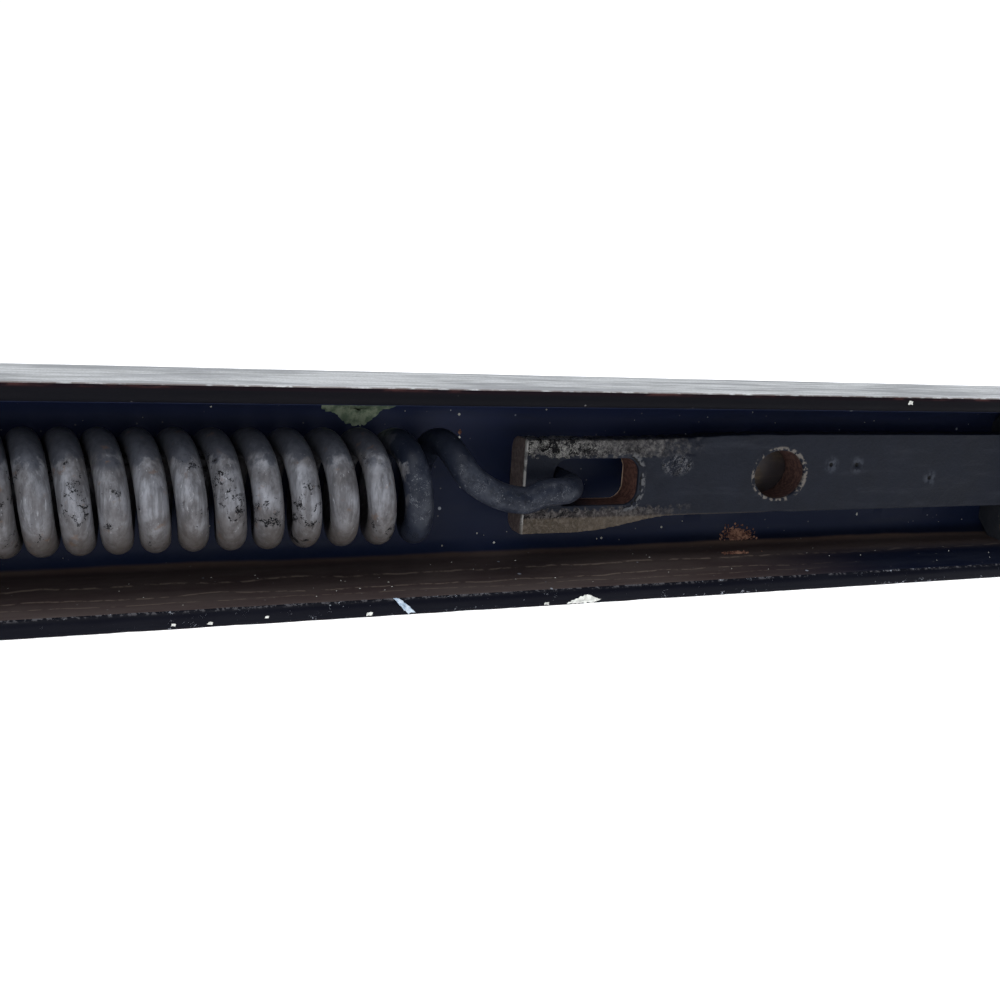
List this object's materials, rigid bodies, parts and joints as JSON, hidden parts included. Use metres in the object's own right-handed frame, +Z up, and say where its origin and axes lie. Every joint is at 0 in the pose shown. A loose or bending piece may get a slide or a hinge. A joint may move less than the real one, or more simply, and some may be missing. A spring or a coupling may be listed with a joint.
{
  "type": "flush bolt",
  "caption": "Sprung flush bolt: a slotted draw bar slides in a steel channel, pulled back by a heavy extension spring, its round nose level with the face plate.",
  "frame": {"origin": "middle of the back face of the channel's web, half way along it", "axes": "+X the way the bolt is thrown, out of the face plate; +Y out of the channel's back, into what it is fixed to; +Z up, across the channel; the open front faces -Y"},
  "size_m": [0.606, 0.042, 0.11],
  "materials": {
    "channel_paint": "worn dark blue-black paint, dusty, outer faces weathered to chalky grey",
    "bar_paint": "chipped dark paint over pitted steel",
    "spring_steel": "dull worn grey steel, dark paint left on the last coil and hook",
    "bare_steel": "bright turned steel, lightly oiled",
    "fastener_steel": "dull zinc-plated steel",
    "bronze": "bearing bronze, darkened",
    "block_iron": "dark painted iron"
  },
  "bodies": {
    "housing": {"channel": "channel_paint", "end_plate": "channel_paint", "face_plate": "channel_paint", "weld_top": "channel_paint", "weld_bottom": "channel_paint", "spring": "spring_steel", "anchor_washer": "fastener_steel", "adjusting_nut": "fastener_steel", "lock_nut": "fastener_steel", "guide_washer_top": "fastener_steel", "guide_washer_bottom": "fastener_steel", "guide_screw_top": "fastener_steel", "guide_screw_bottom": "fastener_steel", "pad_screw_1": "fastener_steel", "pad_screw_2": "fastener_steel", "pad_screw_3": "fastener_steel", "pad_screw_4": "fastener_steel", "slide_pad_left": "bronze", "slide_pad_right": "bronze", "guide_bush": "bronze", "guide_block": "block_iron", "anchor_eye": "block_iron"},
    "bolt": {"draw_bar": "bar_paint", "bolt_nose": "bare_steel", "stop_pin": "bare_steel", "cross_pin_left": "bare_steel", "cross_pin_right": "bare_steel"}
  },
  "joints": [
    {"name": "bolt_slide", "type": "slide", "parent": "housing", "child": "bolt", "axis": [1, 0, 0], "range_m": [0, 0.025], "stiffness_N_per_m": 154000, "springref_m": -0.001, "deforming": ["spring"]}
  ]
}
